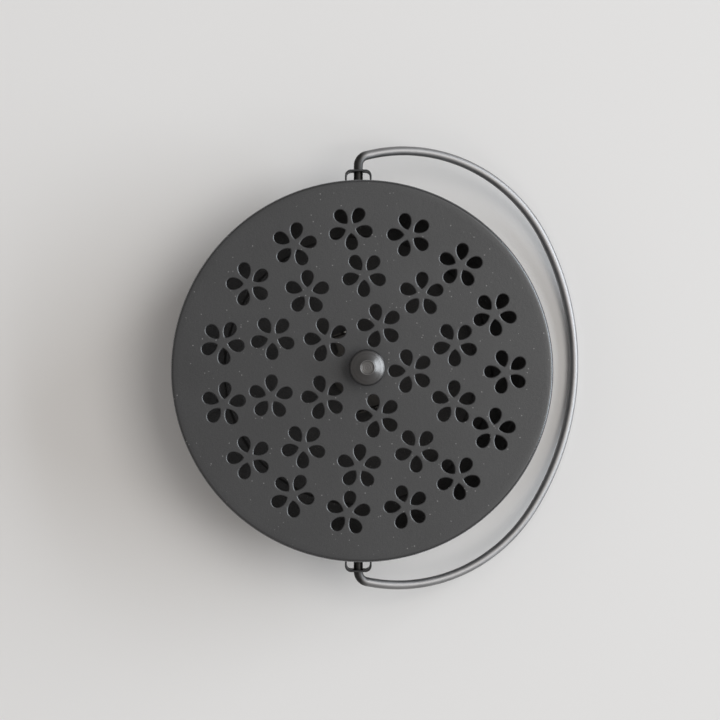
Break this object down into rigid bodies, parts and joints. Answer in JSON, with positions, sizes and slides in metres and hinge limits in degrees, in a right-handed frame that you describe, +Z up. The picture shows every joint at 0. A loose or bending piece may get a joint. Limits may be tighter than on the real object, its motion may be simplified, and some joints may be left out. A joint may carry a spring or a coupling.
{
  "type": "mosquito coil holder",
  "caption": "Round lidded steel tin for a burning mosquito coil, with petal-shaped vents in the lid, a turned knob, a coil stand inside and a folding wire bail.",
  "frame": {"origin": "centre of the pan's flat underside, on the surface the holder stands on", "axes": "+Z up along the pan's axis; Y along the bail's pivot, with the back ear at +Y; +X towards the folded bail"},
  "size_m": [0.1587, 0.1724, 0.0544],
  "materials": {
    "dark_coat": "fine matt dark grey powder coat",
    "knob_coat": "satin dark grey over turned steel",
    "wire_steel": "satin dark nickel on drawn wire",
    "plated_steel": "bright zinc plate"
  },
  "bodies": {
    "pan": {"base_pan": "dark_coat", "coil_stand": "plated_steel", "stand_rivets": "plated_steel", "ear_back": "dark_coat", "ear_front": "dark_coat", "ear_rivets": "dark_coat"},
    "lid": {"lid_shell": "dark_coat", "lid_knob": "knob_coat", "knob_screw": "plated_steel", "knob_washer": "plated_steel"},
    "bail": {"bail_handle": "wire_steel"}
  },
  "joints": [
    {"name": "bail_swing", "type": "hinge", "parent": "pan", "child": "bail", "pos_m": [0, 0, 0.026], "axis": [0, -1, 0], "range_deg": [0, 211.2]},
    {"name": "lid_lift", "type": "slide", "parent": "pan", "child": "lid", "axis": [0, 0, 1], "range_m": [0, 0.06]}
  ]
}
